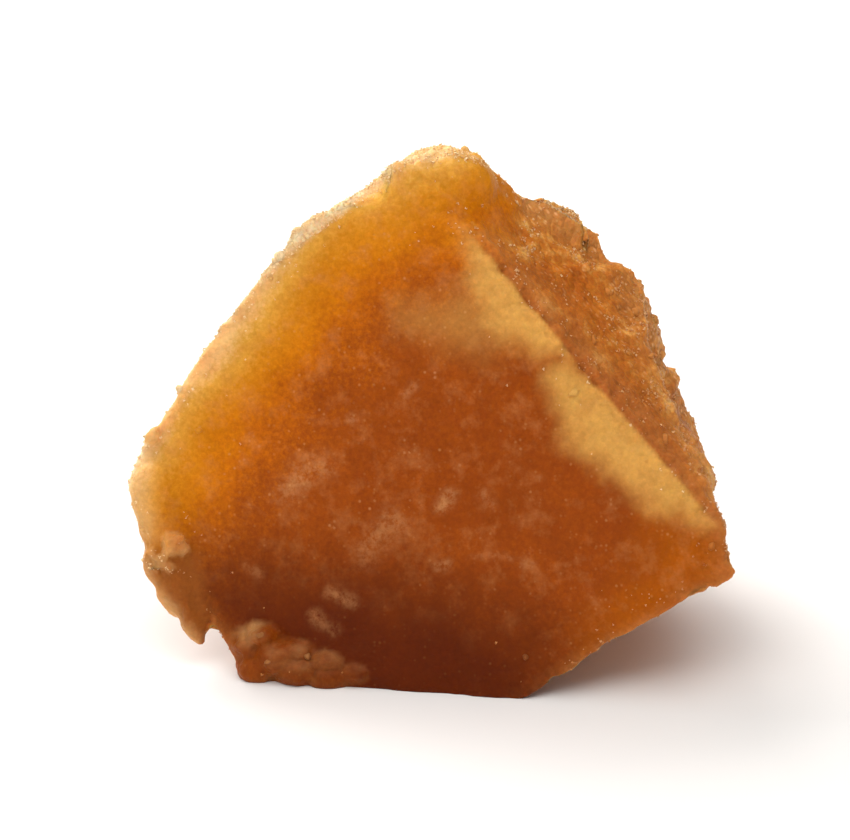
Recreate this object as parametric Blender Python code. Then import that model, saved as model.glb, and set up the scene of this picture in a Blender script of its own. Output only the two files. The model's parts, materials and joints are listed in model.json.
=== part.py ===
"""One broken lump of jaggery: solid, fudge-like cane sugar with one smooth face and rough breaks.

Metres, +Z up. The lump stands on a small flat break with its smooth face towards -Y, and the
origin is on the surface that it stands on, under the middle of the lump.
"""

import math
import random

import bmesh
import bpy
import numpy as np
from mathutils import Vector, noise

MM = 0.001

# The lump is a block cut down by flat breaks round its heart. Each break is given by the way it
# faces: a bearing round the upright from -Y towards +X and a tilt above level, both in degrees,
# then its distance from the heart in mm, and how rough it is, from 0 for sliced to 1 for torn.
BLOCK_SIDE = 60 * MM
HEART = Vector((0.0, 0.0, 21 * MM))
BREAKS = {
    "front": (-10, 15, 7.2, 0.0),
    "upper_right": (50, 44.6, 14.6, 0.4),
    "crown": (-168, 69, 19.4, 0.2),
    "right": (94, 18, 19.7, 0.5),
    "crest": (142, 47, 17.8, 0.7),
    "back_right": (127, 24, 18.6, 0.8),
    "right_under": (90, -57, 21.7, 0.6),
    "left_under": (-106, -38, 21.9, 0.7),
    "left": (-118, 18, 16.6, 0.5),
    "upper_left": (-119, 31, 15.5, 0.5),
    "shoulder": (-137, 41, 14.8, 0.5),
    "back": (172, 8, 18.5, 1.0),
    "back_under": (168, -38, 21.5, 1.0),
    "back_left": (-140, -4, 20.0, 1.0),
    "foot": (0, -90, 21.0, 0.0),
}
ARRIS_WIDTH = 1.5 * MM

# Lumps fused to the block: place and half sizes in mm, and lean about Y in degrees. The knob is
# the rounded top, the flake hangs off the lower left edge, and the lip is a crumbly lower edge.
LUMPS = {
    "knob": ((1.3, 1.6, 37.9), (4.6, 3.9, 3.9), 0),
    "crest_bulge": ((11.6, 4.6, 34.5), (4.8, 2.4, 1.9), 34),
    "left_bulge": ((-21.6, -4.6, 13.6), (1.9, 1.6, 3.4), 0),
    "flake_neck": ((-21.3, -5.4, 11.0), (1.8, 1.6, 2.2), 10),
    "flake_root": ((-20.7, -6.2, 8.7), (2.5, 1.6, 2.4), 5),
    "flake_middle": ((-20.0, -7.0, 6.6), (2.0, 1.4, 2.6), -20),
    "flake_tip": ((-18.9, -8.1, 4.4), (1.1, 0.9, 2.4), -28),
    "lip_left": ((-14.7, -9.6, 3.0), (1.2, 1.0, 1.2), 0),
    "lip_top": ((-13.4, -9.9, 4.0), (1.3, 1.0, 0.9), 0),
    "lip_heel": ((-13.8, -9.9, 1.2), (1.7, 1.5, 1.4), 0),
    "lip_middle": ((-12.2, -10.3, 2.3), (1.7, 1.4, 1.4), 0),
    "lip_bead": ((-10.6, -10.5, 3.0), (1.3, 0.9, 0.8), 20),
    "lip_toe": ((-10.4, -10.7, 1.3), (1.8, 1.4, 1.3), 0),
    "lip_ledge": ((-8.2, -10.9, 2.2), (1.3, 0.9, 0.8), -15),
    "lip_foot": ((-8.0, -11.1, 0.8), (1.7, 1.2, 1.1), 0),
    "lip_end": ((-5.8, -11.3, 1.4), (1.2, 0.8, 0.8), -10),
}

# The dip at the left of the knob: place, half sizes and depth in mm.
HOLLOWS = {
    "knob_neck": ((-5.2, 0.5, 40.0), (3.2, 7.0, 3.2), 1.9),
}

# Shells knocked out of the rough breaks. Each is a shallow cut by a ball, and a new one goes to
# the freest of a few spots drawn at random.
SHELLS = 26
SHELL_SEED = 5
SHELL_SPOTS = 60
SHELL_RADIUS = (6 * MM, 15 * MM)
SHELL_DEPTH = (0.8 * MM, 2.1 * MM)
SHELL_REACH = 17 * MM
LEAST_ROUGH = 0.45

# Steps where a layer has come away: the way across the step in degrees, its place from the
# heart in mm, and its drop in mm. Their edges wander.
STEPS = {
    "crest_step": (100, 62, 9.0, 0.9),
    "back_step": (-160, 50, 6.0, 1.2),
    "low_step": (150, -70, 6.5, 1.1),
    "side_step": (-60, 70, 8.0, 0.8),
}
STEP_WANDER = (6 * MM, 2.4 * MM)
STEP_EDGE = 0.45 * MM

# Finer relief: how wide a bump is, how high, and its seed. Smooth breaks keep a third of the
# swell and none of the ridges and grit. Arrises lose what the nibbles take. The ridge between
# the smooth face and the upper right break stays whole.
SWELL = (14 * MM, 1.2 * MM, 3.1)
RIDGES = (5.5 * MM, 1.5 * MM, 7.7)
GRIT = (2.2 * MM, 0.45 * MM, 1.3)
NIBBLES = (3.0 * MM, 1.3 * MM, 9.2)
THIN_FLAKE = 0.75
SMOOTH_SHARE = 0.35
BREAK_BLEND = 1.2 * MM
ARRIS_REACH = 1.4 * MM
RIDGE_REACH = 4 * MM

# The foot is worn flat: the relief fades out towards it, and then a sliver is sliced off.
FOOT_FADE = 1.5 * MM
FOOT_CUT = 0.4 * MM

EVEN_STEP = 0.55 * MM
TRIANGLES = 8800


def facing(bearing, tilt):
    """The unit vector of a bearing and a tilt in degrees."""
    b, t = math.radians(bearing), math.radians(tilt)
    return Vector((math.sin(b) * math.cos(t), -math.cos(b) * math.cos(t), math.sin(t)))


PLANES = [(facing(b, t), d * MM, rough) for b, t, d, rough in BREAKS.values()]


def slice_off(bm, point, outward):
    """Cuts away what lies outside a plane and closes the cut."""
    made = bmesh.ops.bisect_plane(
        bm,
        geom=bm.verts[:] + bm.edges[:] + bm.faces[:],
        plane_co=point,
        plane_no=outward,
        clear_outer=True,
    )
    rim = [e for e in made["geom_cut"] if isinstance(e, bmesh.types.BMEdge)]
    bmesh.ops.contextual_create(bm, geom=rim)
    bmesh.ops.recalc_face_normals(bm, faces=bm.faces)


def cut_block():
    """The block with each break sliced off it and its arrises rounded."""
    bm = bmesh.new()
    bmesh.ops.create_cube(bm, size=BLOCK_SIDE)
    bmesh.ops.translate(bm, vec=HEART, verts=bm.verts)
    for outward, distance, _ in PLANES:
        slice_off(bm, HEART + outward * distance, outward)
    bmesh.ops.bevel(
        bm,
        geom=bm.edges[:],
        offset=ARRIS_WIDTH,
        segments=3,
        profile=0.5,
        affect="EDGES",
        clamp_overlap=True,
    )
    return bm


def add_object(name, bm):
    """A new object that holds the mesh."""
    mesh = bpy.data.meshes.new(name)
    bm.to_mesh(mesh)
    bm.free()
    obj = bpy.data.objects.new(name, mesh)
    bpy.context.scene.collection.objects.link(obj)
    return obj


def add_lump(name, place, half_sizes, lean):
    """A small rounded lump, to be fused to the block."""
    bm = bmesh.new()
    bmesh.ops.create_icosphere(bm, subdivisions=4, radius=1.0)
    bmesh.ops.scale(bm, vec=Vector(half_sizes) * MM, verts=bm.verts)
    obj = add_object(name, bm)
    obj.location = Vector(place) * MM
    obj.rotation_euler = (0, math.radians(lean), 0)
    return obj


def apply_modifiers(obj):
    """Replaces the object's mesh by what its modifiers make of it."""
    bpy.context.view_layer.update()
    graph = bpy.context.evaluated_depsgraph_get()
    mesh = bpy.data.meshes.new_from_object(obj.evaluated_get(graph))
    obj.modifiers.clear()
    obj.data = mesh


def fuse(obj, pieces):
    """Joins the pieces to the object in one Boolean union, then evens out the mesh."""
    group = bpy.data.collections.new("fused")
    bpy.context.scene.collection.children.link(group)
    for piece in pieces:
        bpy.context.scene.collection.objects.unlink(piece)
        group.objects.link(piece)
    union = obj.modifiers.new("union", "BOOLEAN")
    union.operation = "UNION"
    union.operand_type = "COLLECTION"
    union.collection = group
    union.solver = "EXACT"
    remesh = obj.modifiers.new("even", "REMESH")
    remesh.mode = "VOXEL"
    remesh.voxel_size = EVEN_STEP
    apply_modifiers(obj)
    for piece in pieces:
        bpy.data.objects.remove(piece)
    bpy.data.collections.remove(group)


def shell_balls():
    """Centres and radii of the balls that cut the shells, spread over the rough breaks."""
    draw = random.Random(SHELL_SEED)
    rough_planes = [plane for plane in PLANES if plane[2] >= LEAST_ROUGH]
    hits, balls = [], []
    while len(balls) < SHELLS:
        spots = []
        for _ in range(SHELL_SPOTS):
            outward, distance, _ = draw.choice(rough_planes)
            aside = Vector([draw.uniform(-1, 1) for _ in range(3)]) * SHELL_REACH
            aside -= outward * aside.dot(outward)
            hit = HEART + outward * distance + aside
            if max(n.dot(hit - HEART) - d for n, d, _ in PLANES) > MM / 1000:
                continue
            room = min([(hit - other).length for other in hits], default=BLOCK_SIDE)
            spots.append((room, hit, outward))
        _, hit, outward = max(spots, key=lambda spot: spot[0])
        radius, depth = draw.uniform(*SHELL_RADIUS), draw.uniform(*SHELL_DEPTH)
        hits.append(hit)
        balls.append((hit + outward * (radius - depth), radius))
    return balls


def noise_at(points, size, seed):
    """Smooth noise from about -1 to 1 whose bumps are about the given size."""
    aside = Vector((seed, 0, 0))
    return np.array([noise.noise(Vector(point) / size + aside) for point in points])


def roughness_at(points):
    """How rough the nearest break is at each point, and how near an arris the point is."""
    from_heart = points - np.array(HEART)
    outward = np.array([n for n, _, _ in PLANES])
    gaps = np.array([d for _, d, _ in PLANES]) - from_heart @ outward.T
    weights = np.exp(-np.clip(gaps, 0, None) / BREAK_BLEND)
    rough = weights @ np.array([r for _, _, r in PLANES]) / weights.sum(axis=1)
    nearest = np.sort(gaps, axis=1)
    return rough, np.exp((nearest[:, 0] - nearest[:, 1]) / ARRIS_REACH)


def shell_depth_at(points):
    """How deep the shells cut at each point."""
    depth = np.zeros(len(points))
    for centre, radius in shell_balls():
        depth = np.maximum(depth, radius - np.linalg.norm(points - np.array(centre), axis=1))
    return np.minimum(depth, SHELL_DEPTH[1])


def step_drop_at(points):
    """How far the steps drop at each point."""
    size, width = STEP_WANDER
    drops = np.zeros(len(points))
    for bearing, tilt, place, drop in STEPS.values():
        across = (points - np.array(HEART)) @ np.array(facing(bearing, tilt)) - place * MM
        across += noise_at(points, size, place) * width
        drops += (1 + np.tanh(across / STEP_EDGE)) / 2 * drop * MM
    return drops


def nearness(points, kind, reach):
    """How near each point is to lumps of a kind: 1 on them, 0 past their size times 1 + reach."""
    near = np.zeros(len(points))
    for name, (place, half_sizes, _) in LUMPS.items():
        if name.startswith(kind):
            away = np.linalg.norm((points / MM - np.array(place)) / np.array(half_sizes), axis=1)
            near = np.maximum(near, np.clip((1 + reach - away) / reach, 0, 1))
    return near


def relief(points):
    """How far the skin stands out at each point, in metres."""
    rough, arris = roughness_at(points)
    lip = nearness(points, "lip", 0.6)
    swell, ridges, grit, nibbles = [
        noise_at(points, size, seed) * height
        for size, height, seed in (SWELL, RIDGES, GRIT, NIBBLES)
    ]
    torn = RIDGES[1] / 3 - np.abs(ridges) + grit - step_drop_at(points)
    torn = torn * rough - shell_depth_at(points) * np.clip(rough / LEAST_ROUGH, 0, 1)
    whole = np.ones(len(points))
    for outward, distance, _ in PLANES[:2]:
        gap = distance - (points - np.array(HEART)) @ np.array(outward)
        whole *= np.clip(1 - gap / RIDGE_REACH, 0, 1)
    torn *= 1 - whole
    stands = swell * (SMOOTH_SHARE + (1 - SMOOTH_SHARE) * rough) + torn * (1 - lip)
    stands -= np.clip(nibbles, 0, None) * arris
    stands *= 1 - THIN_FLAKE * nearness(points, "flake", 0.5)
    for place, half_sizes, depth in HOLLOWS.values():
        away = np.linalg.norm((points / MM - np.array(place)) / np.array(half_sizes), axis=1)
        inside = np.clip(1 - away, 0, 1)
        stands -= inside * inside * (3 - 2 * inside) * depth * MM
    return stands * np.clip(points[:, 2] / FOOT_FADE, 0, 1)


def roughen(obj):
    """Moves each point of the skin along its normal by the relief there."""
    points, normals = np.empty((2, len(obj.data.vertices) * 3))
    obj.data.vertices.foreach_get("co", points)
    obj.data.vertices.foreach_get("normal", normals)
    stands = relief(points.reshape(-1, 3))
    points += normals * np.repeat(stands, 3)
    obj.data.vertices.foreach_set("co", points)
    obj.data.update()


def thin_out(obj):
    """Fewer triangles, kept where the shape turns most."""
    obj.data.calc_loop_triangles()
    decimate = obj.modifiers.new("thin", "DECIMATE")
    decimate.ratio = TRIANGLES / len(obj.data.loop_triangles)
    decimate.use_collapse_triangulate = True
    apply_modifiers(obj)


def settle(obj):
    """Slices the foot flat, and sets the middle of the foot plane on the origin."""
    bm = bmesh.new()
    bm.from_mesh(obj.data)
    slice_off(bm, Vector((0, 0, FOOT_CUT)), Vector((0, 0, -1)))
    bmesh.ops.triangulate(bm, faces=bm.faces)
    across = [v.co.x for v in bm.verts]
    along = [v.co.y for v in bm.verts]
    middle = Vector((min(across) + max(across), min(along) + max(along), 2 * FOOT_CUT)) / 2
    bmesh.ops.translate(bm, vec=-middle, verts=bm.verts)
    bm.to_mesh(obj.data)
    bm.free()


def jaggery_material():
    """Raw cane sugar: caramel amber, faintly moist."""
    material = bpy.data.materials.new("jaggery")
    material.use_nodes = True
    shader = material.node_tree.nodes["Principled BSDF"]
    shader.inputs["Base Color"].default_value = (0.50, 0.16, 0.03, 1.0)
    shader.inputs["Roughness"].default_value = 0.45
    shader.inputs["Metallic"].default_value = 0.0
    return material


def main():
    """Clears the scene and makes the lump."""
    for old in list(bpy.data.objects):
        bpy.data.objects.remove(old)
    lump = add_object("jaggery_lump", cut_block())
    fuse(lump, [add_lump(name, *sizes) for name, sizes in LUMPS.items()])
    roughen(lump)
    thin_out(lump)
    settle(lump)
    lump.data.materials.clear()
    lump.data.materials.append(jaggery_material())
    lump.data.shade_smooth()


main()
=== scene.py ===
"""One broken lump of jaggery, as it looks: set cane sugar, caramel in its body, amber and clear
at its thin edges, with cream patches, sugar grain and stuck crumbs."""

import json
import math
import random

import bpy
import numpy as np
from mathutils import Matrix, Vector, noise

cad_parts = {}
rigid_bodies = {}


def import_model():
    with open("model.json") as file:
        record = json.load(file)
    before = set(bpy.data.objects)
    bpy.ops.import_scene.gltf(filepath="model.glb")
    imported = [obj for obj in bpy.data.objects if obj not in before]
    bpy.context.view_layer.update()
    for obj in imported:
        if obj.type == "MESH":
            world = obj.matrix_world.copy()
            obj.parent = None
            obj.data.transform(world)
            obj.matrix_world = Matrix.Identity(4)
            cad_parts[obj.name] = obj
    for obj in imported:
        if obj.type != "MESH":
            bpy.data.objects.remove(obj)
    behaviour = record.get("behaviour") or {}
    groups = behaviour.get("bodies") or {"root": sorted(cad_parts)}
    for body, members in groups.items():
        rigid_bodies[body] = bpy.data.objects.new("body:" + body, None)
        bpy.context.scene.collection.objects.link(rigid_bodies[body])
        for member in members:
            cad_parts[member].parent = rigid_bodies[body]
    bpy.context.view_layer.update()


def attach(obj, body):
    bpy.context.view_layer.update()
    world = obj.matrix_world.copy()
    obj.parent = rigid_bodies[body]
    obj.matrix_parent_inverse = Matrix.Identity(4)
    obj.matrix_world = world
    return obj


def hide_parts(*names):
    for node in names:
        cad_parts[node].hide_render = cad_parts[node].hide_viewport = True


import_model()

# The set block, and the breaks that made the lump.
# Jaggery is cane juice boiled down and set in a mould. A hammer splits it along flat breaks:
# the front is a clean slice, and the sides and back are torn.
MM = 0.001
BLOCK_SIDE = 60 * MM
HEART = Vector((0.0, 0.0, 21 * MM))
BREAKS = {  # bearing from -Y towards +X and tilt, in degrees, distance in mm, roughness 0 to 1
    "front": (-10, 15, 7.2, 0.0),
    "upper_right": (50, 44.6, 14.6, 0.4),
    "crown": (-168, 69, 19.4, 0.2),
    "right": (94, 18, 19.7, 0.5),
    "crest": (142, 47, 17.8, 0.7),
    "back_right": (127, 24, 18.6, 0.8),
    "right_under": (90, -57, 21.7, 0.6),
    "left_under": (-106, -38, 21.9, 0.7),
    "left": (-118, 18, 16.6, 0.5),
    "upper_left": (-119, 31, 15.5, 0.5),
    "shoulder": (-137, 41, 14.8, 0.5),
    "back": (172, 8, 18.5, 1.0),
    "back_under": (168, -38, 21.5, 1.0),
    "back_left": (-140, -4, 20.0, 1.0),
    "foot": (0, -90, 21.0, 0.0),
}
ARRIS_WIDTH = 1.1 * MM
ARRIS_SEGMENTS = 3
CUT_TOLERANCE = MM / 1000


def facing(bearing, tilt):
    """The unit vector of a bearing and a tilt in degrees."""
    b, t = math.radians(bearing), math.radians(tilt)
    return Vector((math.sin(b) * math.cos(t), -math.cos(b) * math.cos(t), math.sin(t)))


PLANES = {name: (facing(b, t), d * MM, rough) for name, (b, t, d, rough) in BREAKS.items()}

bpy.ops.object.select_all(action="DESELECT")
bpy.ops.mesh.primitive_cube_add(size=BLOCK_SIDE, location=HEART)
lump = bpy.context.object
lump.name = lump.data.name = "jaggery_body"
bpy.ops.object.mode_set(mode="EDIT")
for outward, distance, _ in PLANES.values():
    bpy.ops.mesh.select_all(action="SELECT")
    bpy.ops.mesh.bisect(
        plane_co=HEART + outward * distance,
        plane_no=outward,
        use_fill=True,
        clear_outer=True,
        threshold=CUT_TOLERANCE,
    )
bpy.ops.mesh.select_all(action="SELECT")
bpy.ops.mesh.normals_make_consistent(inside=False)
bpy.ops.mesh.bevel(
    offset=ARRIS_WIDTH, segments=ARRIS_SEGMENTS, profile=0.5, affect="EDGES", clamp_overlap=True
)
bpy.ops.object.mode_set(mode="OBJECT")
bpy.ops.object.transform_apply(location=True, rotation=True, scale=True)

# The knob, the flake, the crumbly lip and the crumbs that set fast.
# Where the block tore unevenly it kept a rounded top, a bulging crest, a flake that hangs off the
# lower left edge and a lip at the bottom. Crumbs have grown into the skin by the flake.
LUMPS = {  # place and half sizes in mm, lean about Y in degrees
    "knob": ((1.3, 1.6, 37.9), (4.6, 3.9, 3.9), 0),
    "crest_bulge": ((11.6, 4.6, 34.5), (4.8, 2.4, 1.9), 34),
    "left_bulge": ((-22.0, -4.8, 12.9), (2.3, 1.8, 4.2), 0),
    "flake_neck": ((-21.3, -5.4, 11.0), (1.8, 1.6, 2.2), 10),
    "flake_root": ((-20.7, -6.2, 8.7), (2.5, 1.6, 2.4), 5),
    "flake_middle": ((-20.0, -7.0, 6.6), (2.0, 1.4, 2.6), -20),
    "flake_tip": ((-18.9, -8.1, 4.4), (1.1, 0.9, 2.4), -28),
    "lip_left": ((-14.7, -9.6, 3.0), (1.2, 1.0, 1.2), 0),
    "lip_top": ((-13.4, -9.9, 4.0), (1.3, 1.0, 0.9), 0),
    "lip_heel": ((-13.8, -9.9, 1.2), (1.7, 1.5, 1.4), 0),
    "lip_middle": ((-12.2, -10.3, 2.3), (1.7, 1.4, 1.4), 0),
    "lip_bead": ((-10.6, -10.5, 3.0), (1.3, 0.9, 0.8), 20),
    "lip_toe": ((-10.4, -10.7, 1.3), (1.8, 1.4, 1.3), 0),
    "lip_ledge": ((-8.2, -10.9, 2.2), (1.3, 0.9, 0.8), -15),
    "lip_foot": ((-8.0, -11.1, 0.8), (1.7, 1.2, 1.1), 0),
    "lip_end": ((-5.8, -11.3, 1.4), (1.2, 0.8, 0.8), -10),
    "crumb_side": ((-20.4, -7.5, 11.1), (1.0, 0.8, 1.0), 20),
    "crumb_side_top": ((-19.8, -7.8, 11.7), (0.55, 0.5, 0.5), 0),
    "crumb_side_low": ((-20.9, -7.8, 10.4), (0.6, 0.5, 0.5), 0),
    "crumb_side_end": ((-19.6, -7.6, 10.6), (0.55, 0.5, 0.6), 0),
    "crumb_flake_top": ((-22.5, -6.9, 9.9), (0.6, 0.6, 0.55), 0),
    "crumb_flake_one": ((-21.6, -7.7, 9.5), (0.65, 0.6, 0.5), 30),
    "crumb_flake_two": ((-20.9, -8.1, 9.1), (0.6, 0.5, 0.5), 0),
    "crumb_flake_three": ((-22.2, -7.6, 8.8), (0.6, 0.6, 0.55), 0),
    "crumb_flake_four": ((-21.6, -8.0, 8.7), (0.5, 0.4, 0.45), 0),
    "crumb_rim": ((-22.0, -4.6, 19.2), (0.9, 0.9, 1.0), 0),
}
BALL_SUBDIVISIONS = 5
SKIN_STEP = 0.29 * MM


def select_alone(obj):
    """Selects one object and makes it the active one."""
    bpy.ops.object.select_all(action="DESELECT")
    obj.select_set(True)
    bpy.context.view_layer.objects.active = obj


fused = bpy.data.collections.new("fused")
bpy.context.scene.collection.children.link(fused)
for place, half_sizes, lean in LUMPS.values():
    bpy.ops.object.select_all(action="DESELECT")
    bpy.ops.mesh.primitive_ico_sphere_add(
        subdivisions=BALL_SUBDIVISIONS,
        radius=1.0,
        location=Vector(place) * MM,
        rotation=(0, math.radians(lean), 0),
        scale=Vector(half_sizes) * MM,
    )
    piece = bpy.context.object
    for holder in list(piece.users_collection):
        holder.objects.unlink(piece)
    fused.objects.link(piece)

union = lump.modifiers.new("union", "BOOLEAN")
union.operation = "UNION"
union.operand_type = "COLLECTION"
union.collection = fused
even = lump.modifiers.new("even", "REMESH")
even.mode = "VOXEL"
even.voxel_size = SKIN_STEP
select_alone(lump)
for modifier in (union, even):
    bpy.ops.object.modifier_apply(modifier=modifier.name)
for piece in list(fused.objects):
    bpy.data.objects.remove(piece)
bpy.data.collections.remove(fused)

# The torn skin.
# A break runs between sugar crystals, so it leaves shells, steps, ridges and grit, and the
# arrises crumble. The smooth face keeps only a slow swell and fine grain.
SHELLS = 26  # how many, each a shallow cut by a ball
SHELL_SEED = 5
SHELL_SPOTS = 60  # spots tried for each shell, which goes to the freest
SHELL_RADIUS = (6 * MM, 15 * MM)
SHELL_DEPTH = (0.8 * MM, 2.1 * MM)
SHELL_REACH = 17 * MM
LEAST_ROUGH = 0.45
STEPS = {  # the way across a step in degrees, its place from the heart and its drop in mm
    "crest_step": (100, 62, 9.0, 0.9),
    "back_step": (-160, 50, 6.0, 1.2),
    "low_step": (150, -70, 6.5, 1.1),
    "side_step": (-60, 70, 8.0, 0.8),
}
STEP_WANDER = (6 * MM, 2.4 * MM)
STEP_EDGE = 0.3 * MM
HOLLOWS = {  # place, half sizes and depth in mm
    "knob_neck": ((-5.2, 0.5, 40.0), (3.2, 7.0, 3.2), 1.9),
}
SWELL = (14 * MM, 1.2 * MM, 3.1)  # width and height of a bump, and its seed
RIDGES = (5.5 * MM, 1.5 * MM, 7.7)
GRIT = (2.2 * MM, 0.45 * MM, 1.3)
NIBBLES = (3.0 * MM, 1.3 * MM, 9.2)
CRUMBLE = (1.3 * MM, 0.42 * MM, 4.4)
GRAIN = (0.75 * MM, 0.13 * MM, 6.6)
SMALL_NIBBLES = (1.1 * MM, 0.8 * MM, 2.5)
SMOOTH_GRAIN = 0.22  # the share of the grain that the smooth face has
SMOOTH_SHARE = 0.35  # the share of the swell that it has
CALM_KINDS = ("knob", "flake", "left_bulge")  # the lumps that tore less roughly
CALM = 0.6
LIP_ROUGH = 0.6
LIP_GRIT = 0.35
FLAKE_GRIT = 0.6
CRUMB_GRIT = 0.4
THIN_FLAKE = 0.75  # how much less relief the thin flake has
LUMP_REACH = 0.6  # how far past a lump, in its own size, its sort of skin runs on
BULGE_REACH = 0.8
FLAKE_REACH = 0.5
FLAKE_GRIT_REACH = 0.2
CRUMB_REACH = 0.3
RIDGE_REACH = 4 * MM
BREAK_BLEND = 1.2 * MM
ARRIS_REACH = 1.4 * MM
FOOT_FADE = 1.5 * MM
FOOT_CUT = 0.4 * MM
MIDDLE = Vector((0.15 * MM, 2.4 * MM, FOOT_CUT))  # the middle of the foot, in the block's frame


def noise_at(points, size, seed):
    """Smooth noise from about -1 to 1 whose bumps are about the given size."""
    aside = Vector((seed, 0, 0))
    return np.array([noise.noise(Vector(point) / size + aside) for point in points])


def gaps_at(points):
    """How far inside each break's plane each point is."""
    outward = np.array([n for n, _, _ in PLANES.values()])
    return np.array([d for _, d, _ in PLANES.values()]) - (points - np.array(HEART)) @ outward.T


def shell_balls():
    """Centres and radii of the balls that cut the shells, spread over the rough breaks."""
    draw = random.Random(SHELL_SEED)
    rough_planes = [plane for plane in PLANES.values() if plane[2] >= LEAST_ROUGH]
    hits, balls = [], []
    while len(balls) < SHELLS:
        spots = []
        for _ in range(SHELL_SPOTS):
            outward, distance, _ = draw.choice(rough_planes)
            aside = Vector([draw.uniform(-1, 1) for _ in range(3)]) * SHELL_REACH
            aside -= outward * aside.dot(outward)
            hit = HEART + outward * distance + aside
            if max(n.dot(hit - HEART) - d for n, d, _ in PLANES.values()) > CUT_TOLERANCE:
                continue
            room = min([(hit - other).length for other in hits], default=BLOCK_SIDE)
            spots.append((room, hit, outward))
        _, hit, outward = max(spots, key=lambda spot: spot[0])
        radius, depth = draw.uniform(*SHELL_RADIUS), draw.uniform(*SHELL_DEPTH)
        hits.append(hit)
        balls.append((hit + outward * (radius - depth), radius))
    return balls


def away_from(points, place, half_sizes):
    """How far each point is from a place in mm, counted in half sizes."""
    return np.linalg.norm((points / MM - np.array(place)) / np.array(half_sizes), axis=1)


def nearness(points, kind, reach):
    """How near each point is to lumps of a kind: 1 on them, 0 past their size times 1 + reach."""
    near = np.zeros(len(points))
    for name, (place, half_sizes, _) in LUMPS.items():
        if not name.startswith(kind):
            continue
        away = away_from(points, place, half_sizes)
        near = np.maximum(near, np.clip((1 + reach - away) / reach, 0, 1))
    return near


def eased(share):
    """A share from 0 to 1 that starts and ends softly."""
    inside = np.clip(share, 0, 1)
    return inside * inside * (3 - 2 * inside)


def relief(points):
    """How far the skin stands out, how rough it is and how far its ridges stand, at each point."""
    gaps = gaps_at(points)
    weights = np.exp(-np.clip(gaps, 0, None) / BREAK_BLEND)
    rough = weights @ np.array([r for _, _, r in PLANES.values()]) / weights.sum(axis=1)
    nearest = np.sort(gaps, axis=1)
    arris = np.exp((nearest[:, 0] - nearest[:, 1]) / ARRIS_REACH)
    arris *= 1 - nearness(points, "left_bulge", BULGE_REACH)
    swell, ridges, grit, nibbles, crumble, grain, small_nibbles = [
        noise_at(points, size, seed) * height
        for size, height, seed in (SWELL, RIDGES, GRIT, NIBBLES, CRUMBLE, GRAIN, SMALL_NIBBLES)
    ]
    shells = np.zeros(len(points))
    for centre, radius in shell_balls():
        shells = np.maximum(shells, radius - np.linalg.norm(points - np.array(centre), axis=1))
    shells = np.minimum(shells, SHELL_DEPTH[1])
    size, width = STEP_WANDER
    drops = np.zeros(len(points))
    for bearing, tilt, place, drop in STEPS.values():
        across = (points - np.array(HEART)) @ np.array(facing(bearing, tilt)) - place * MM
        across += noise_at(points, size, place) * width
        drops += (1 + np.tanh(across / STEP_EDGE)) / 2 * drop * MM
    lip = nearness(points, "lip", LUMP_REACH)
    calm = np.max([nearness(points, kind, LUMP_REACH) for kind in CALM_KINDS], axis=0)
    crumb = nearness(points, "crumb", CRUMB_REACH)
    flake_grit = nearness(points, "flake", FLAKE_GRIT_REACH) * FLAKE_GRIT
    rough = np.maximum(rough * (1 - CALM * calm), LIP_ROUGH * lip)
    whole = np.prod(np.clip(1 - gaps[:, :2] / RIDGE_REACH, 0, 1), axis=1)
    gritty = grit - np.abs(crumble)
    stands = swell * (SMOOTH_SHARE + (1 - SMOOTH_SHARE) * rough) + gritty * lip * LIP_GRIT
    stands += (RIDGES[1] / 3 - np.abs(ridges) + gritty - drops) * rough * (1 - lip) * (1 - whole)
    stands -= shells * np.clip(rough / LEAST_ROUGH, 0, 1) * (1 - lip) * (1 - whole)
    stands -= np.clip(nibbles, 0, None) * arris + np.clip(small_nibbles, 0, None) * arris
    stands *= 1 - THIN_FLAKE * nearness(points, "flake", FLAKE_REACH)
    for place, half_sizes, depth in HOLLOWS.values():
        stands -= eased(1 - away_from(points, place, half_sizes)) * depth * MM
    stands += gritty * np.maximum(crumb, flake_grit) * CRUMB_GRIT
    stands += grain * (SMOOTH_GRAIN + (1 - SMOOTH_GRAIN) * np.clip(rough / LEAST_ROUGH, 0, 1))
    return stands * np.clip(points[:, 2] / FOOT_FADE, 0, 1), rough, gritty - np.abs(ridges) / 3


def read_points(obj, name="co"):
    """An array of a mesh's points or normals, one to a row."""
    values = np.empty(len(obj.data.vertices) * 3)
    obj.data.vertices.foreach_get(name, values)
    return values.reshape(-1, 3)


points = read_points(lump)
stands, _, _ = relief(points)
points += read_points(lump, "normal") * stands[:, None]
lump.data.vertices.foreach_set("co", points.ravel())
lump.data.update()

select_alone(lump)
bpy.ops.object.mode_set(mode="EDIT")
bpy.ops.mesh.select_all(action="SELECT")
bpy.ops.mesh.bisect(
    plane_co=(0, 0, FOOT_CUT),
    plane_no=(0, 0, -1),
    use_fill=True,
    clear_outer=True,
    threshold=CUT_TOLERANCE,
)
bpy.ops.mesh.select_all(action="SELECT")
bpy.ops.mesh.normals_make_consistent(inside=False)
bpy.ops.object.mode_set(mode="OBJECT")
lump.data.transform(Matrix.Translation(-MIDDLE))
lump.data.shade_smooth()
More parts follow.
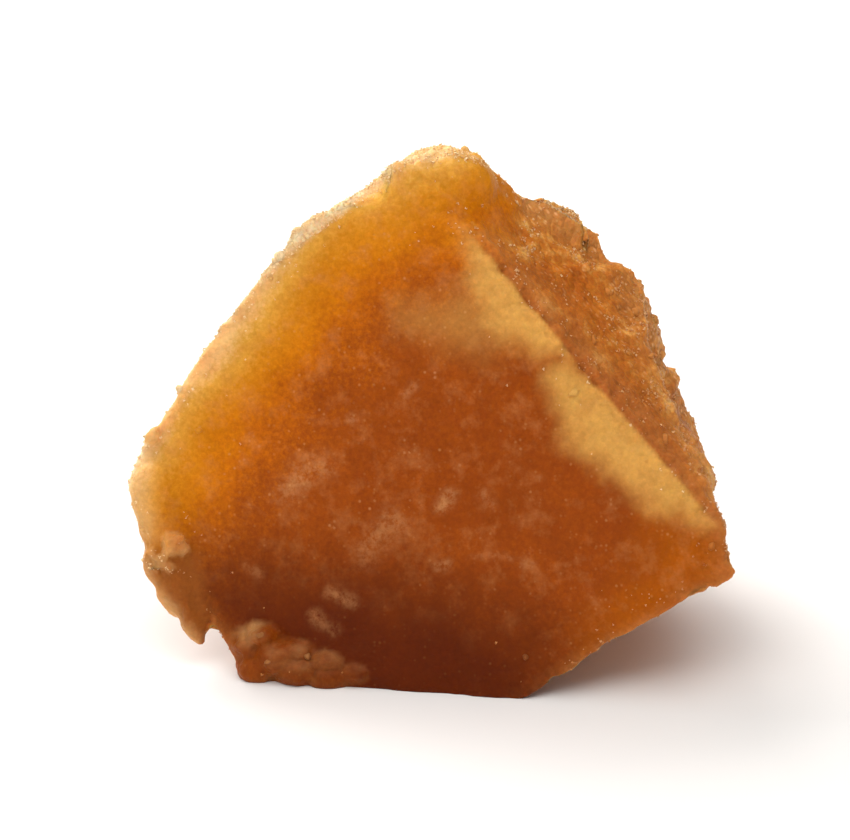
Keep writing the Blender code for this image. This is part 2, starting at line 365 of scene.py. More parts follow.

# Where the sugar is thin, creamy, frosted or rough, and where glow, highlight and shade are
# painted.
# Light comes through the thin left edge and the top, so they are amber, and that glow is also
# painted into the colour, with a painted orange glow low on the right. Sugar that set first is
# cream, along the right ridge, haze and frost are dry sugar, with a painted rim light on the frost.
# The lip tops and the flake's left edge get painted highlights, the flake gets painted shade, and
# the body is darkest low down, partly its deeper colour and partly painted shade.
THIN_REACH = 5.2 * MM
THIN_WANDER = (7 * MM, 1.2 * MM, 5.2)  # width, height and seed
THIN_EDGE = 0.9 * MM
THIN_FLOOR = 16 * MM  # below this height the left edge gets thicker, and so darker
THIN_FALL = 2.0
KNOB_DEPTH = 3 * MM
KNOB_SMOOTHER = 0.8
LIP_SMOOTHER = 0.7
LIP_PALER = 0.3
TORN_PALER = 0.5
RIM_BREAKS = ("left", "upper_left", "shoulder")
RIM_WIDTH = 0.4 * MM
RIM_DEPTH = 1.6 * MM
EDGE_WIDTH = 1.8 * MM
SMOOTH_FROM, SMOOTH_DEPTH = 1.5, 1.2 * MM
RIDGE_LINE = 0.3 * MM
RIDGED_FROM, RIDGED_TO = -0.6 * MM, 0.2 * MM
LIP_TOP_FROM, LIP_TOP_RISE = 1.5, 3  # in mm
LIP_TOP_HIGHLIGHT = 0.6
CRUMB_PALE = 0.7
LEAST_CRUMB_PALE = 0.3
CRUMB_PALE_REACH = 0.25
# The painted shade on the flake reaches up to here.
FLAKE_TOP = 11.5 * MM
FLAKE_FADE = 2 * MM
RAGGED = ((4.5 * MM, 0.8, 8.1), (1.6 * MM, 0.5, 3.3), (0.6 * MM, 0.3, 2.7))
CREAM = {  # softness of the edge in mm, strength, and x, z and half width along the patch in mm
    "ridge_wedge": (3.2, 1.0, (
        (10.6, 25.4, 1.6), (13.6, 22.8, 3.0), (16.2, 20.6, 3.2), (19.4, 18.3, 2.3),
        (22.1, 16.6, 1.2),
    )),
    "upper_patch": (3.0, 1.0, (
        (3.8, 35.2, 1.0), (5.7, 32.8, 2.4), (7.0, 30.9, 3.1), (9.4, 29.3, 2.4), (11.0, 28.4, 1.1),
    )),
    "upper_haze": (4.5, 0.45, ((5.0, 30.0, 2.6), (1.6, 29.5, 1.8), (-1.4, 29.3, 0.9))),
}
HAZE = {
    "left_haze": (2.4, 0.75, ((-11.4, 15.4, 0.6), (-10.0, 16.6, 1.0), (-8.4, 17.5, 0.7))),
    "star": (1.2, 0.85, ((0.9, 14.9, 0.4), (1.6, 15.8, 0.4))),
    "star_side": (1.2, 0.5, ((4.5, 16.0, 0.3), (5.1, 15.5, 0.3))),
    "middle_haze": (2.6, 0.55, ((-5.0, 11.2, 0.7), (-2.8, 13.6, 0.8))),
    "low_dash": (1.1, 0.5, ((-7.7, 7.8, 0.15), (-6.0, 7.2, 0.15))),
    "lower_dash": (1.1, 0.4, ((-9.1, 5.8, 0.15), (-7.5, 4.7, 0.2))),
    "low_right_spot": (1.0, 0.5, ((1.0, 10.4, 0.2), (1.6, 10.6, 0.2))),
    "low_right_line": (1.2, 0.5, ((3.4, 11.3, 0.15), (5.6, 11.6, 0.3), (8.0, 11.0, 0.2))),
    "low_left_spot": (1.2, 0.4, ((-14.5, 9.4, 0.3), (-13.6, 8.9, 0.3))),
    "right_line": (0.9, 0.5, ((7.2, 18.3, 0.12), (8.7, 17.7, 0.12))),
    "upper_spot": (1.2, 0.55, ((-1.8, 23.6, 0.25), (-1.1, 24.2, 0.3))),
    "upper_grain": (0.8, 0.6, ((-6.3, 21.3, 0.15), (-6.0, 21.4, 0.15))),
}
# Pale edges, partly painted light: the left edge as a painted glow from behind, the flake's left
# edge as a painted highlight.
PALE_AND_LIT = {
    "left_edge": (2.4, 0.85, ((-22.6, 20.4, 0.5), (-23.6, 14.6, 1.2), (-22.8, 11.6, 0.7))),
    "lit_flake_edge": (1.6, 0.75, (
        (-23.2, 9.7, 0.5), (-22.1, 7.0, 0.6), (-20.5, 4.6, 0.6), (-18.8, 2.8, 0.6),
    )),
}
# A pale frosted rim along the upper left edge, partly a painted rim light from behind.
FROST_AND_RIM_LIGHT = {
    "upper_left_rim": (0.9, 1.0, (
        (-13.8, 31.5, 0.3), (-11.2, 34.2, 0.6), (-8.8, 36.3, 0.6), (-6.2, 38.2, 0.45),
        (-4.5, 39.2, 0.1),
    )),
}
# Where the body is painted darker low down: partly the deeper colour of thick sugar, partly painted
# shade.
DEPTH_AND_SHADE = {
    "low_left": (11.0, 1.0, (
        (-17.5, 7.0, 3.0), (-13.0, 5.0, 5.0), (-6.0, 2.0, 8.0), (4.0, 0.5, 7.0),
    )),
}
# A painted glow of light through the sugar, low on the right.
GLOW = {
    "low_right": (7.0, 0.9, ((20.5, 12.5, 3.0), (14.0, 5.0, 1.0))),
}
HAZE_RAGGED, PALE_RAGGED, SHADE_AND_GLOW_RAGGED = 0.7, 0.5, 1.5


def store(obj, name, values):
    """Keeps one number a point on the mesh, for the material to read."""
    made = obj.data.attributes.new(name, "FLOAT", "POINT")
    made.data.foreach_set("value", np.clip(values, 0, 1).astype(np.float32))


def patches(points, specs, ragged):
    """How much of some long patches of the smooth face shows at each point, from 0 to 1."""
    flat = points[:, [0, 2]] / MM
    shown = np.zeros(len(points))
    for softness, strength, chain in specs.values():
        for (x1, z1, width1), (x2, z2, width2) in zip(chain, chain[1:]):
            start, run = np.array((x1, z1)), np.array((x2 - x1, z2 - z1))
            along = np.clip((flat - start) @ run / (run @ run), 0, 1)
            away = np.linalg.norm(flat - start - along[:, None] * run, axis=1)
            inward = width1 + (width2 - width1) * along - away + ragged
            shown = np.maximum(shown, eased(0.5 + inward / softness) * strength)
    return shown


def colour_zones(obj):
    """Stores how thin, creamy, frosted, rough and high the sugar is, and where light and shade are
    painted.
    """
    points = read_points(obj) + np.array(MIDDLE)
    _, rough, ridged = relief(points)
    knob, flake, lip = [nearness(points, kind, FLAKE_REACH) for kind in ("knob", "flake", "lip")]
    rough *= (1 - KNOB_SMOOTHER * knob) * (1 - LIP_SMOOTHER * lip)
    gaps = dict(zip(PLANES, gaps_at(points).T))
    nearest = np.sort(gaps_at(points), axis=1)
    edge = nearest[:, 1] - nearest[:, 0]
    rim_gap = np.min([gaps[name] for name in RIM_BREAKS], axis=0)
    under_gap = gaps["left_under"] + np.clip(THIN_FLOOR - points[:, 2], 0, None) * THIN_FALL
    crown_gap = gaps["crown"] + KNOB_DEPTH * knob
    nearest_thin = np.min([crown_gap, rim_gap, under_gap], axis=0)
    size, width, seed = THIN_WANDER
    wander = noise_at(points, size, seed) * width
    ragged = sum(noise_at(points, size, seed) * share for size, share, seed in RAGGED)
    front = np.clip(SMOOTH_FROM - gaps["front"] / SMOOTH_DEPTH, 0, 1)
    front = front * np.clip((gaps["upper_right"] - gaps["front"]) / RIDGE_LINE, 0, 1)
    past_rim = rim_gap - gaps["front"]
    rim = np.exp(-np.where(past_rim > 0, past_rim / RIM_WIDTH, -past_rim / RIM_DEPTH))
    rim *= np.exp(-np.clip(rim_gap, 0, None) / RIM_DEPTH)
    # Darker low down, partly deeper body colour and partly painted shade, less of it on the lip and
    # torn breaks.
    depth_and_shade = patches(points, DEPTH_AND_SHADE, ragged * SHADE_AND_GLOW_RAGGED)
    depth_and_shade = depth_and_shade * (1 - LIP_PALER * lip) * (1 - TORN_PALER * rough)
    knobs = np.clip(0.5 + ragged, 0, 1)
    # Painted highlight: the lip's knobs paler towards their tops.
    lip_top = lip * np.clip((points[:, 2] / MM - LIP_TOP_FROM) / LIP_TOP_RISE, 0, 1) * knobs
    crumb = nearness(points, "crumb", CRUMB_PALE_REACH)
    crumb = crumb * (LEAST_CRUMB_PALE + (1 - LEAST_CRUMB_PALE) * knobs)
    pale_and_lit_edges = patches(points, PALE_AND_LIT, ragged * PALE_RAGGED)
    store(obj, "thin", np.exp(-np.clip(nearest_thin + wander - THIN_EDGE, 0, None) / THIN_REACH))
    store(obj, "rim", np.maximum(rim, patches(points, FROST_AND_RIM_LIGHT, ragged * PALE_RAGGED)))
    store(obj, "edge", np.exp(-edge / EDGE_WIDTH))
    store(obj, "cream", patches(points, CREAM, ragged) * front)
    store(obj, "haze", patches(points, HAZE, ragged * HAZE_RAGGED) * front)
    store(obj, "depth_and_shade", depth_and_shade)
    store(obj, "glow", patches(points, GLOW, ragged * SHADE_AND_GLOW_RAGGED))
    # Painted shade on the lower flake.
    store(obj, "flake_shade", flake * np.clip((FLAKE_TOP - points[:, 2]) / FLAKE_FADE, 0, 1))
    store(obj, "pale_and_lit", np.max([pale_and_lit_edges, crumb * CRUMB_PALE, lip_top * LIP_TOP_HIGHLIGHT], axis=0))
    store(obj, "rough", rough)
    store(obj, "high", (ridged - RIDGED_FROM) / (RIDGED_TO - RIDGED_FROM))


colour_zones(lump)


def linear(hex_colour):
    """A colour from its sRGB hex value, as the shaders take it."""
    parts = [int(hex_colour[i : i + 2], 16) / 255 for i in (1, 3, 5)]
    return (*[p / 12.92 if p <= 0.04045 else ((p + 0.055) / 1.055) ** 2.4 for p in parts], 1.0)


def add_node(material, kind, inputs=None, **settings):
    """Adds a node with its settings. An input is a value, or another node's output to link."""
    tree = material.node_tree
    node = tree.nodes.new(kind)
    for key, value in settings.items():
        setattr(node, key, value)
    for key, value in (inputs or {}).items():
        if isinstance(value, bpy.types.NodeSocket):
            tree.links.new(value, node.inputs[key])
        else:
            node.inputs[key].default_value = value
    return node


# The sugar itself.
# Set cane sugar is a mass of fine crystals in syrup: waxy, a little moist, and clear enough for
# light to travel some millimetres in it, red furthest.
jaggery = bpy.data.materials.new("set_cane_sugar")
jaggery.use_nodes = True
shader = jaggery.node_tree.nodes["Principled BSDF"]
place = add_node(jaggery, "ShaderNodeTexCoord").outputs["Object"]


def zone(name):
    """The stored number of that name."""
    return add_node(jaggery, "ShaderNodeAttribute", attribute_name=name).outputs["Fac"]


def mottle(size, detail=2.0, roughness=0.5):
    """Noise whose bumps have the given size, from 0 to 1."""
    return add_node(
        jaggery,
        "ShaderNodeTexNoise",
        {"Vector": place, "Scale": 1 / size, "Detail": detail, "Roughness": roughness},
    ).outputs["Fac"]


def ranged(value, low, high, to_low=0.0, to_high=1.0):
    """Moves a value from one range to another."""
    return add_node(
        jaggery,
        "ShaderNodeMapRange",
        {"Value": value, "From Min": low, "From Max": high, "To Min": to_low, "To Max": to_high},
    ).outputs["Result"]


def times(a, b):
    """One value times another."""
    return add_node(jaggery, "ShaderNodeMath", {0: a, 1: b}, operation="MULTIPLY").outputs[0]


def plus(a, b):
    """One value plus another."""
    return add_node(jaggery, "ShaderNodeMath", {0: a, 1: b}, operation="ADD").outputs[0]


def mixed(share, a, b, blend="MIX"):
    """Two colours mixed by a share."""
    node = add_node(jaggery, "ShaderNodeMix", data_type="RGBA", blend_type=blend)
    for socket, value in ((node.inputs[0], share), (node.inputs[6], a), (node.inputs[7], b)):
        if isinstance(value, bpy.types.NodeSocket):
            jaggery.node_tree.links.new(value, socket)
        else:
            socket.default_value = value
    return node.outputs[2]


def ramp(share, stops):
    """A colour that runs through stops of (place, sRGB hex)."""
    node = add_node(jaggery, "ShaderNodeValToRGB", {"Fac": share})
    elements = node.color_ramp.elements
    while len(elements) < len(stops):
        elements.new(1.0)
    for element, (at, hex_colour) in zip(elements, stops):
        element.position = at
        element.color = linear(hex_colour)
    return node.outputs["Color"]


def cells(size, vector=place):
    """A pattern of uneven cells of the given size."""
    return add_node(jaggery, "ShaderNodeTexVoronoi", {"Vector": vector, "Scale": 1 / size})


def cell_number(pattern, channel):
    """A random number from 0 to 1 for each cell of a pattern."""
    split = add_node(jaggery, "ShaderNodeSeparateColor", {"Color": pattern.outputs["Color"]})
    return split.outputs[channel]


FINE_GRAIN = 0.36 * MM
CLOUDS = 3.5 * MM
VEILS = 1.9 * MM
TORN_MOTTLE = 0.8 * MM
CLOTS = 0.7 * MM
CREAM_MOTTLE = 1.6 * MM
# The smooth colours run lighter and yellower to the thin edges: a painted glow of light through
# thin sugar, on top of the real subsurface glow.
SMOOTH_COLOURS = (  # from the thick body to the thin edge
    (0.0, "#964306"), (0.12, "#A04B06"), (0.26, "#BC6202"), (0.40, "#CB7600"), (0.56, "#D08414"),
    (0.78, "#DA9E3C"), (1.0, "#E4B878"),
)
TORN_COLOURS = (  # from the hollows to the ridges
    (0.0, "#A0500C"), (0.35, "#B05C0E"), (0.65, "#C0701E"), (1.0, "#E0A456"),
)
COLOURS = {
    "painted_glow_orange": "#B25A00",
    "veil": "#CC8448",
    "torn_edge": "#D69A58",
    "torn_thin_glow": "#D89C4C",
    "deep_body_and_shade": "#5E1E00",
    "haze": "#C88A54",
    "flake_shade_brown": "#94521C",
    "cream": "#DAA250",
    "pale_crust_and_highlight": "#DCAA6C",
    "frost_and_rim_light": "#F8E2B8",
    "speck_and_glint": "#DCA060",
    "streak": "#F0B87C",
}


def covered(share, below, name):
    """Lays a share of a named colour over the colour below it."""
    return mixed(share, below, linear(COLOURS[name]))


fine = mottle(FINE_GRAIN, 3.0, 0.7)
cloud = mottle(CLOUDS, 4.0, 0.6)
# Painted glow: lighter towards the thin edges, and a painted orange glow low on the right.
thinness = plus(zone("thin"), ranged(fine, 0.3, 0.7, -0.06, 0.06))
thinness = plus(thinness, ranged(cloud, 0.3, 0.7, -0.05, 0.05))
smooth_colour = covered(zone("glow"), ramp(thinness, SMOOTH_COLOURS), "painted_glow_orange")
veil = times(ranged(mottle(VEILS, 4.0, 0.65), 0.5, 0.72), 0.35)
smooth_colour = covered(veil, smooth_colour, "veil")
height = plus(zone("high"), ranged(mottle(TORN_MOTTLE, 4.0, 0.7), 0.3, 0.7, -0.3, 0.3))
torn_colour = covered(times(zone("edge"), 0.6), ramp(height, TORN_COLOURS), "torn_edge")
# Painted glow on torn breaks where the sugar is thin.
torn_colour = covered(ranged(zone("thin"), 0.5, 1.0, 0.0, 0.7), torn_colour, "torn_thin_glow")
body_colour = mixed(ranged(zone("rough"), 0.12, 0.45), smooth_colour, torn_colour)
# Painted shade low down, partly the body's deeper colour.
body_colour = covered(times(zone("depth_and_shade"), 0.95), body_colour, "deep_body_and_shade")
clotted = ranged(mottle(CLOTS, 4.0, 0.75), 0.38, 0.6, 0.1, 1.0)
body_colour = covered(times(zone("haze"), clotted), body_colour, "haze")
# Painted shade on the flake, a tan brown.
body_colour = covered(times(zone("flake_shade"), 0.8), body_colour, "flake_shade_brown")
broken = ranged(mottle(CREAM_MOTTLE, 3.0, 0.6), 0.35, 0.6, 0.82, 1.0)
body_colour = covered(times(zone("cream"), broken), body_colour, "cream")
# Pale crumbs and crusts, with painted highlights on the lip tops and the flake's edge and a painted
# glow on the left edge.
body_colour = covered(zone("pale_and_lit"), body_colour, "pale_crust_and_highlight")
# Frosted rim, partly a painted rim light.
beaded = ranged(mottle(CLOTS, 3.0, 0.7), 0.35, 0.55, 0.5, 0.95)
body_colour = covered(times(zone("rim"), beaded), body_colour, "frost_and_rim_light")

GRAIN_CELL = 0.42 * MM
grains = cells(GRAIN_CELL)
grain_shade = ranged(cell_number(grains, 1), 0.0, 1.0, 0.88, 1.16)
grain_share = ranged(zone("rough"), 0.1, 0.5, 0.3, 1.0)
shade = add_node(
    jaggery, "ShaderNodeMix", {"Factor": grain_share, "A": 1.0, "B": grain_shade}
).outputs["Result"]
mottled = times(ranged(fine, 0.3, 0.7, 0.92, 1.08), ranged(cloud, 0.3, 0.7, 0.94, 1.06))
shade = times(mottled, shade)
grey = add_node(jaggery, "ShaderNodeCombineColor", {"Red": shade, "Green": shade, "Blue": shade})
body_colour = mixed(1.0, body_colour, grey.outputs[0], "MULTIPLY")

# Pale specks of sugar grain, partly painted glints where grains catch the light, fewer in the
# painted shade.
SPECK_CELL = 0.4 * MM
SPECK_GROUPS = 2.2 * MM
specks = cells(SPECK_CELL)
speck_shape = ranged(specks.outputs["Distance"], 0.0, 0.42, 0.75, 0.0)
speck_pick = ranged(cell_number(specks, 0), 0.7, 1.0, 0.0, 0.8)
speck_groups = ranged(mottle(SPECK_GROUPS, 3.0, 0.6), 0.42, 0.62, 0.15, 1.0)
speck_groups = times(speck_groups, ranged(zone("depth_and_shade"), 0.0, 0.6, 1.0, 0.25))
speck_share = times(times(speck_shape, speck_pick), speck_groups)
body_colour = covered(speck_share, body_colour, "speck_and_glint")

STREAK_CELL = 0.3 * MM
STREAK_LENGTH = 2.0
STREAK_GROUPS = 3.0 * MM
along = PLANES["upper_right"][0].cross(PLANES["front"][0]).to_track_quat("X", "Z").to_euler()
drawn_out = add_node(
    jaggery,
    "ShaderNodeMapping",
    {"Vector": place, "Rotation": along, "Scale": (STREAK_LENGTH, 1.0, 1.0)},
    vector_type="TEXTURE",
).outputs["Vector"]
streaks = cells(STREAK_CELL, drawn_out)
streak_shape = ranged(streaks.outputs["Distance"], 0.2, 0.5, 1.0, 0.0)
streak_pick = ranged(cell_number(streaks, 0), 0.5, 0.7, 0.0, 0.9)
streak_groups = times(
    ranged(mottle(STREAK_GROUPS, 3.0, 0.6), 0.45, 0.6), ranged(zone("rough"), 0.3, 0.6)
)
streak_share = times(times(streak_shape, streak_pick), streak_groups)
body_colour = covered(streak_share, body_colour, "streak")

GRAIN_DEPTH = 0.16 * MM
FINE_BUMPS = 0.35 * MM
FINE_DEPTH = 0.12 * MM
grainy = plus(zone("rough"), times(plus(zone("pale_and_lit"), zone("rim")), 0.5))
grain_bump = add_node(
    jaggery,
    "ShaderNodeBump",
    {"Height": grains.outputs["Distance"], "Distance": GRAIN_DEPTH,
     "Strength": ranged(grainy, 0.0, 0.5, 0.2, 0.8)},
    invert=True,
)
fine_bump = add_node(
    jaggery,
    "ShaderNodeBump",
    {"Height": mottle(FINE_BUMPS, 4.0, 0.65), "Distance": FINE_DEPTH, "Strength": 0.8,
     "Normal": grain_bump.outputs["Normal"]},
)
jaggery.node_tree.links.new(body_colour, shader.inputs["Base Color"])
jaggery.node_tree.links.new(fine_bump.outputs["Normal"], shader.inputs["Normal"])
jaggery.node_tree.links.new(
    ranged(mottle(CLOUDS, 3.0), 0.35, 0.65, 0.32, 0.5), shader.inputs["Roughness"]
)
shader.inputs["IOR"].default_value = 1.5
shader.inputs["Specular IOR Level"].default_value = 0.08
shader.inputs["Subsurface Weight"].default_value = 0.6
shader.inputs["Subsurface Radius"].default_value = (1.0, 0.6, 0.35)
shader.inputs["Subsurface Scale"].default_value = 1.1 * MM
lump.data.materials.append(jaggery)
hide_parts("jaggery_lump")
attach(lump, "root")

# The small crumbs that stick to it.
# Chips of the same sugar cling to the sticky torn breaks, mostly along their edges and on the
# high rim. A few larger ones lie on the lip.
NAMED_CRUMBS = {  # place in mm, half size in mm
    "lip_white": ((-13.6, -10.7, 4.4), 0.4),
    "lip_pearl": ((-12.9, -11.6, 2.6), 0.3),
    "lip_grain": ((-9.6, -11.5, 2.9), 0.35),
}
SMALL_CRUMBS = 200
CRUMB_SUBDIVISIONS = 2
CRUMB_SUNK = 0.25  # how deep a crumb sits, as a share of its half size
CRUMB_CLEARNESS = 0.1
CHIP_SIDE = 1.4
CHIP_LONGER = 0.5
HIGH_RIM = 31 * MM
HIGH_RIM_FADE = 2 * MM
HIGH_RIM_CRUMBS = 2
OFF_EDGE = 0.3
UPWARD = 0.4
FOOT_CLEAR = 0.8 * MM
LIP_CLEAR_REACH = 0.8
LIP_CRUMBS_LOST = 0.8
CRUMB_SIZES = (0.2 * MM, 0.5 * MM)
CRUMB_CUTS = (8, 0.5, 0.9)  # how many flat breaks a crumb has, and how near its middle they are
CRUMB_PALER = 0.1
NAMED_CRUMB_PALENESS = 0.25
CRUMB_LUMPS = (0.45 * MM, 0.16 * MM, 5.9)
draw = np.random.default_rng(11)

skin = read_points(lump)
skin_normals = read_points(lump, "normal")


def values_of(obj, name):
    """The stored numbers of that name, one a point."""
    values = np.empty(len(obj.data.vertices), dtype=np.float32)
    obj.data.attributes[name].data.foreach_get("value", values)
    return values.astype(float)


def small_shape(subdivisions):
    """The points and faces of a small ball, or of a block if it isn't subdivided."""
    bpy.ops.object.select_all(action="DESELECT")
    if subdivisions:
        bpy.ops.mesh.primitive_ico_sphere_add(subdivisions=subdivisions, radius=1.0)
    else:
        bpy.ops.mesh.primitive_cube_add(size=CHIP_SIDE)
    obj = bpy.context.object
    shape = read_points(obj)
    faces = np.array([face.vertices[:] for face in obj.data.polygons])
    bpy.data.objects.remove(obj)
    return shape, faces


def directions(*shape):
    """Random unit vectors, evenly spread."""
    vectors = draw.normal(size=(*shape, 3))
    return vectors / np.linalg.norm(vectors, axis=-1, keepdims=True)


def scatter(name, subdivisions, places, half_sizes, cuts):
    """One piece made of many small chips, each cut flat by its own breaks."""
    shape, faces = small_shape(subdivisions)
    count = len(places)
    q = draw.normal(size=(count, 4))
    w, x, y, z = (q / np.linalg.norm(q, axis=1)[:, None]).T
    turns = np.array([
        [1 - 2 * (y * y + z * z), 2 * (x * y - w * z), 2 * (x * z + w * y)],
        [2 * (x * y + w * z), 1 - 2 * (x * x + z * z), 2 * (y * z - w * x)],
        [2 * (x * z - w * y), 2 * (y * z + w * x), 1 - 2 * (x * x + y * y)],
    ])
    chips = np.einsum("ijn,kj->nki", turns, shape)
    breaks, nearest, farthest = cuts
    for _ in range(breaks):
        outward = directions(count)
        past = np.einsum("nij,nj->ni", chips, outward) - draw.uniform(nearest, farthest, (count, 1))
        chips -= np.clip(past, 0, None)[:, :, None] * outward[:, None, :]
    longest = directions(count)
    along = np.einsum("nij,nj->ni", chips, longest) * draw.uniform(0.0, CHIP_LONGER, (count, 1))
    chips += along[:, :, None] * longest[:, None, :]
    chips = chips * half_sizes[:, None, None] + places[:, None, :]
    all_faces = faces[None] + (np.arange(count) * len(shape))[:, None, None]
    mesh = bpy.data.meshes.new(name)
    mesh.from_pydata(chips.reshape(-1, 3), [], all_faces.reshape(-1, 3).tolist())
    obj = bpy.data.objects.new(name, mesh)
    bpy.context.scene.collection.objects.link(obj)
    return obj


def pick(count, weights):
    """Points of the skin, drawn by weight."""
    return draw.choice(len(skin), count, replace=False, p=weights / weights.sum())


def nearest_points(places):
    """The point of the skin nearest to each place."""
    return np.array([np.argmin(np.linalg.norm(skin - place, axis=1)) for place in places])


ZONES = (
    "thin", "rim", "edge", "cream", "haze", "depth_and_shade", "glow", "rough", "high", "flake_shade", "pale_and_lit"
)
zones = {name: values_of(lump, name) for name in ZONES}
off_foot = skin[:, 2] > FOOT_CLEAR
up = np.clip(skin_normals[:, 2] + UPWARD, 0, 1)
on_lip = nearness(skin + np.array(MIDDLE), "lip", LIP_CLEAR_REACH)

small_sizes = draw.uniform(0, 1, SMALL_CRUMBS) ** 2 * (CRUMB_SIZES[1] - CRUMB_SIZES[0])
small_sizes += CRUMB_SIZES[0]
high_rim = zones["rim"] * np.clip((skin[:, 2] - HIGH_RIM) / HIGH_RIM_FADE, 0, 1)
small_weights = zones["rough"] * up * (OFF_EDGE + zones["edge"]) * (1 - zones["rim"])
small_weights += HIGH_RIM_CRUMBS * high_rim
small_weights *= off_foot * (1 - LIP_CRUMBS_LOST * on_lip)
small_spots = pick(SMALL_CRUMBS, small_weights)
named_places = np.array([place for place, _ in NAMED_CRUMBS.values()]) * MM - np.array(MIDDLE)
named_sizes = np.array([size for _, size in NAMED_CRUMBS.values()]) * MM
crumb_spots = np.concatenate([nearest_points(named_places), small_spots])
crumb_sizes = np.concatenate([named_sizes, small_sizes])
crumb_places = skin[crumb_spots] + skin_normals[crumb_spots] * crumb_sizes[:, None] * -CRUMB_SUNK
crumbs = scatter("jaggery_crumbs", CRUMB_SUBDIVISIONS, crumb_places, crumb_sizes, CRUMB_CUTS)
points_each = len(crumbs.data.vertices) // len(crumb_spots)
points = read_points(crumbs)
outward = points - np.repeat(crumb_places, points_each, axis=0)
outward /= np.repeat(crumb_sizes, points_each)[:, None]
size, height, seed = CRUMB_LUMPS
points += outward * (noise_at(points, size, seed) * height)[:, None]
crumbs.data.vertices.foreach_set("co", points.ravel())
for name in ZONES:
    under = zones[name][crumb_spots]
    if name in ("high", "pale_and_lit"):
        under = under + (1 - under) * CRUMB_PALER
        under[: len(NAMED_CRUMBS)] = NAMED_CRUMB_PALENESS
    store(crumbs, name, np.repeat(under, points_each))
crumbs.data.shade_smooth()
crumb_sugar = jaggery.copy()
crumb_sugar.name = "crumbled_cane_sugar"
crumb_shader = crumb_sugar.node_tree.nodes["Principled BSDF"]
crumb_shader.inputs["Subsurface Weight"].default_value = CRUMB_CLEARNESS
crumbs.data.materials.append(crumb_sugar)
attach(crumbs, "root")

# The sugar crystals.
# Loose and half set grains of sugar frost the torn breaks and the rim, and a few lie on the
# smooth face. Each is a small block with broken corners, palest where the sugar is pale and where
# glow and rim light are painted, darker in the painted shade.
CRYSTALS = 12000
CRYSTAL_SIZES = (0.06 * MM, 0.15 * MM)
CRYSTAL_CUTS = (2, 0.5, 0.8)
CRYSTAL_GROUPS = (2.2 * MM, 6.1)
CRYSTAL_LIFT = 0.05  # how far its middle stands out, as a share of its half size
SMOOTH_FACE_CRYSTALS = 0.0004
RIM_CRYSTALS = 2.5
HIGH_RIM_CRYSTALS = 14
CREAM_CRYSTALS_LOST = 0.8
LIP_CRYSTALS_LOST = 0.95
LIP_TOP_CRYSTALS_KEPT = 0.6
RIM_PALENESS = 1.5
THIN_GLOW_PALENESS = 0.9
RIDGE_PALENESS = 0.4
DEPTH_AND_SHADE_LOSS = 0.4
PALENESS_SPREAD = 0.35
crystal_sizes = draw.uniform(0, 1, CRYSTALS) ** 2
crystal_sizes = CRYSTAL_SIZES[0] + crystal_sizes * (CRYSTAL_SIZES[1] - CRYSTAL_SIZES[0])
groups = np.clip(0.4 + 3 * noise_at(skin, *CRYSTAL_GROUPS), 0.03, 2)
crystal_weights = zones["rough"] * (OFF_EDGE + zones["high"] + zones["edge"])
crystal_weights = (SMOOTH_FACE_CRYSTALS + crystal_weights) * groups + RIM_CRYSTALS * zones["rim"]
crystal_weights = (crystal_weights + HIGH_RIM_CRYSTALS * high_rim) * off_foot
crystal_weights *= 1 - CREAM_CRYSTALS_LOST * np.maximum(zones["cream"], zones["depth_and_shade"])
crystal_weights *= 1 - LIP_CRYSTALS_LOST * on_lip * (1 - LIP_TOP_CRYSTALS_KEPT * up)
crystal_spots = pick(CRYSTALS, crystal_weights)
crystal_places = skin_normals[crystal_spots] * crystal_sizes[:, None] * CRYSTAL_LIFT
crystal_places = skin[crystal_spots] + crystal_places
crystals = scatter("sugar_crystals", 0, crystal_places, crystal_sizes, CRYSTAL_CUTS)
points_each = len(crystals.data.vertices) // CRYSTALS
# Crystals are paler where glow and rim light are painted, and darker in the painted shade.
pale_share = zones["rim"] * RIM_PALENESS + zones["thin"] * THIN_GLOW_PALENESS
pale_share = pale_share + zones["cream"] + zones["pale_and_lit"]
pale_share += zones["high"] * zones["rough"] * RIDGE_PALENESS
pale_share = (pale_share - DEPTH_AND_SHADE_LOSS * zones["depth_and_shade"])[crystal_spots]
pale_share += draw.uniform(0, PALENESS_SPREAD, CRYSTALS)
store(crystals, "pale_and_lit", np.repeat(pale_share, points_each))
sugar = bpy.data.materials.new("sugar_crystal")
sugar.use_nodes = True
crystal_shader = sugar.node_tree.nodes["Principled BSDF"]
paleness = add_node(sugar, "ShaderNodeAttribute", attribute_name="pale_and_lit").outputs["Fac"]
tint = add_node(sugar, "ShaderNodeValToRGB", {"Fac": paleness})
tint.color_ramp.elements[0].color = linear("#C8844A")
tint.color_ramp.elements[1].color = linear("#F4D4A0")
sugar.node_tree.links.new(tint.outputs["Color"], crystal_shader.inputs["Base Color"])
crystal_shader.inputs["Roughness"].default_value = 0.45
crystal_shader.inputs["IOR"].default_value = 1.54
crystal_shader.inputs["Specular IOR Level"].default_value = 0.1
crystals.data.materials.append(sugar)
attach(crystals, "root")

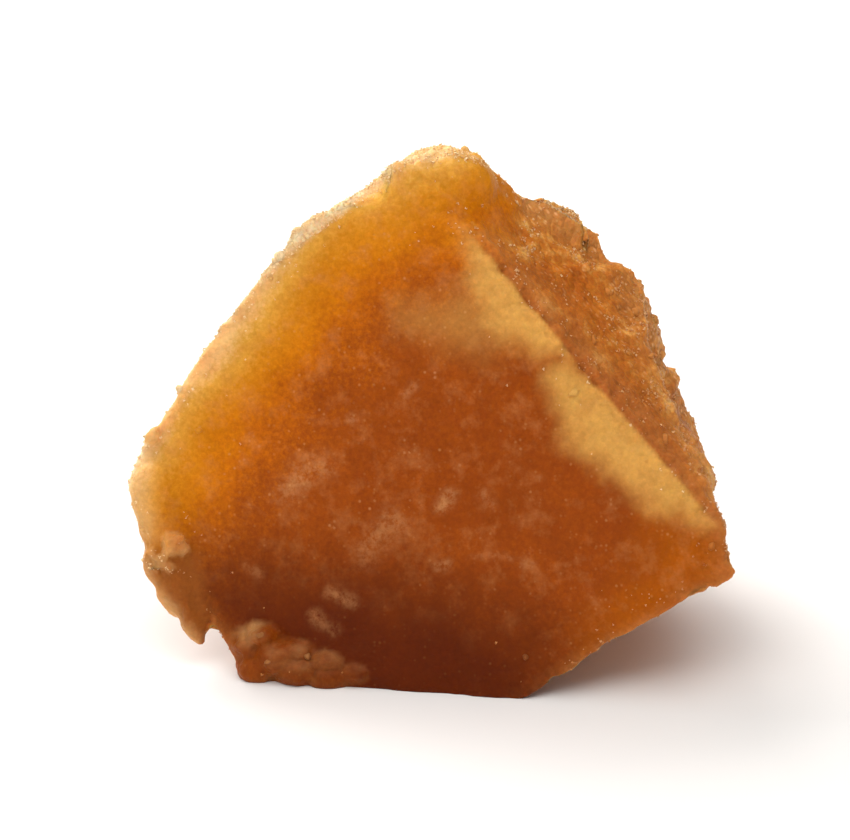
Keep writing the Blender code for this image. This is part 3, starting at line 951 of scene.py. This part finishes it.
# The table, the lamps and the camera.
# A plain pale table under soft white light, brightest from the upper left and behind, and a
# long lens at the photograph's angle.
TABLE_SIDE = 4.0
bpy.ops.object.select_all(action="DESELECT")
bpy.ops.mesh.primitive_plane_add(size=TABLE_SIDE, location=(0, 0, 0))
table = bpy.context.object
table.name = "table"
table_top = bpy.data.materials.new("pale_table")
table_top.use_nodes = True
table_top.node_tree.nodes["Principled BSDF"].inputs["Base Color"].default_value = linear("#F2F0EE")
table_top.node_tree.nodes["Principled BSDF"].inputs["Roughness"].default_value = 0.7
table.data.materials.append(table_top)

AIM = Vector((-0.4, -6.0, 19.7)) * MM


def add_lamp(name, bearing, tilt, distance, side, power, colour):
    """A square softbox that faces the lump. Angles in degrees, sizes in metres, power in watts."""
    data = bpy.data.lights.new(name, "AREA")
    data.size = side
    data.energy = power
    data.color = colour
    obj = bpy.data.objects.new(name, data)
    bpy.context.scene.collection.objects.link(obj)
    obj.location = AIM + facing(bearing, tilt) * distance
    obj.rotation_euler = (AIM - obj.location).to_track_quat("-Z", "Y").to_euler()


add_lamp("back_left_softbox", -140, 40, 0.5, 0.35, 2.8, (1.0, 0.98, 0.95))
add_lamp("overhead_softbox", 30, 72, 0.6, 0.5, 2.0, (1.0, 0.99, 0.97))
add_lamp("front_softbox", -30, 42, 0.6, 0.4, 1.2, (1.0, 0.99, 0.97))

world = bpy.data.worlds.new("studio")
world.use_nodes = True
world.node_tree.nodes["Background"].inputs["Color"].default_value = (1.0, 1.0, 1.0, 1.0)
world.node_tree.nodes["Background"].inputs["Strength"].default_value = 0.3
bpy.context.scene.world = world
bpy.context.scene.view_settings.view_transform = "Standard"

CAMERA_TILT = 23
CAMERA_DISTANCE = 0.6
FRAME_WIDTH = 68 * MM
lens = bpy.data.cameras.new("camera")
lens.sensor_width = 36
lens.lens = lens.sensor_width * CAMERA_DISTANCE / FRAME_WIDTH
lens.clip_start = 0.01
camera = bpy.data.objects.new("camera", lens)
bpy.context.scene.collection.objects.link(camera)
camera.location = AIM + facing(0, CAMERA_TILT) * CAMERA_DISTANCE
camera.rotation_euler = (AIM - camera.location).to_track_quat("-Z", "Y").to_euler()
bpy.context.scene.camera = camera
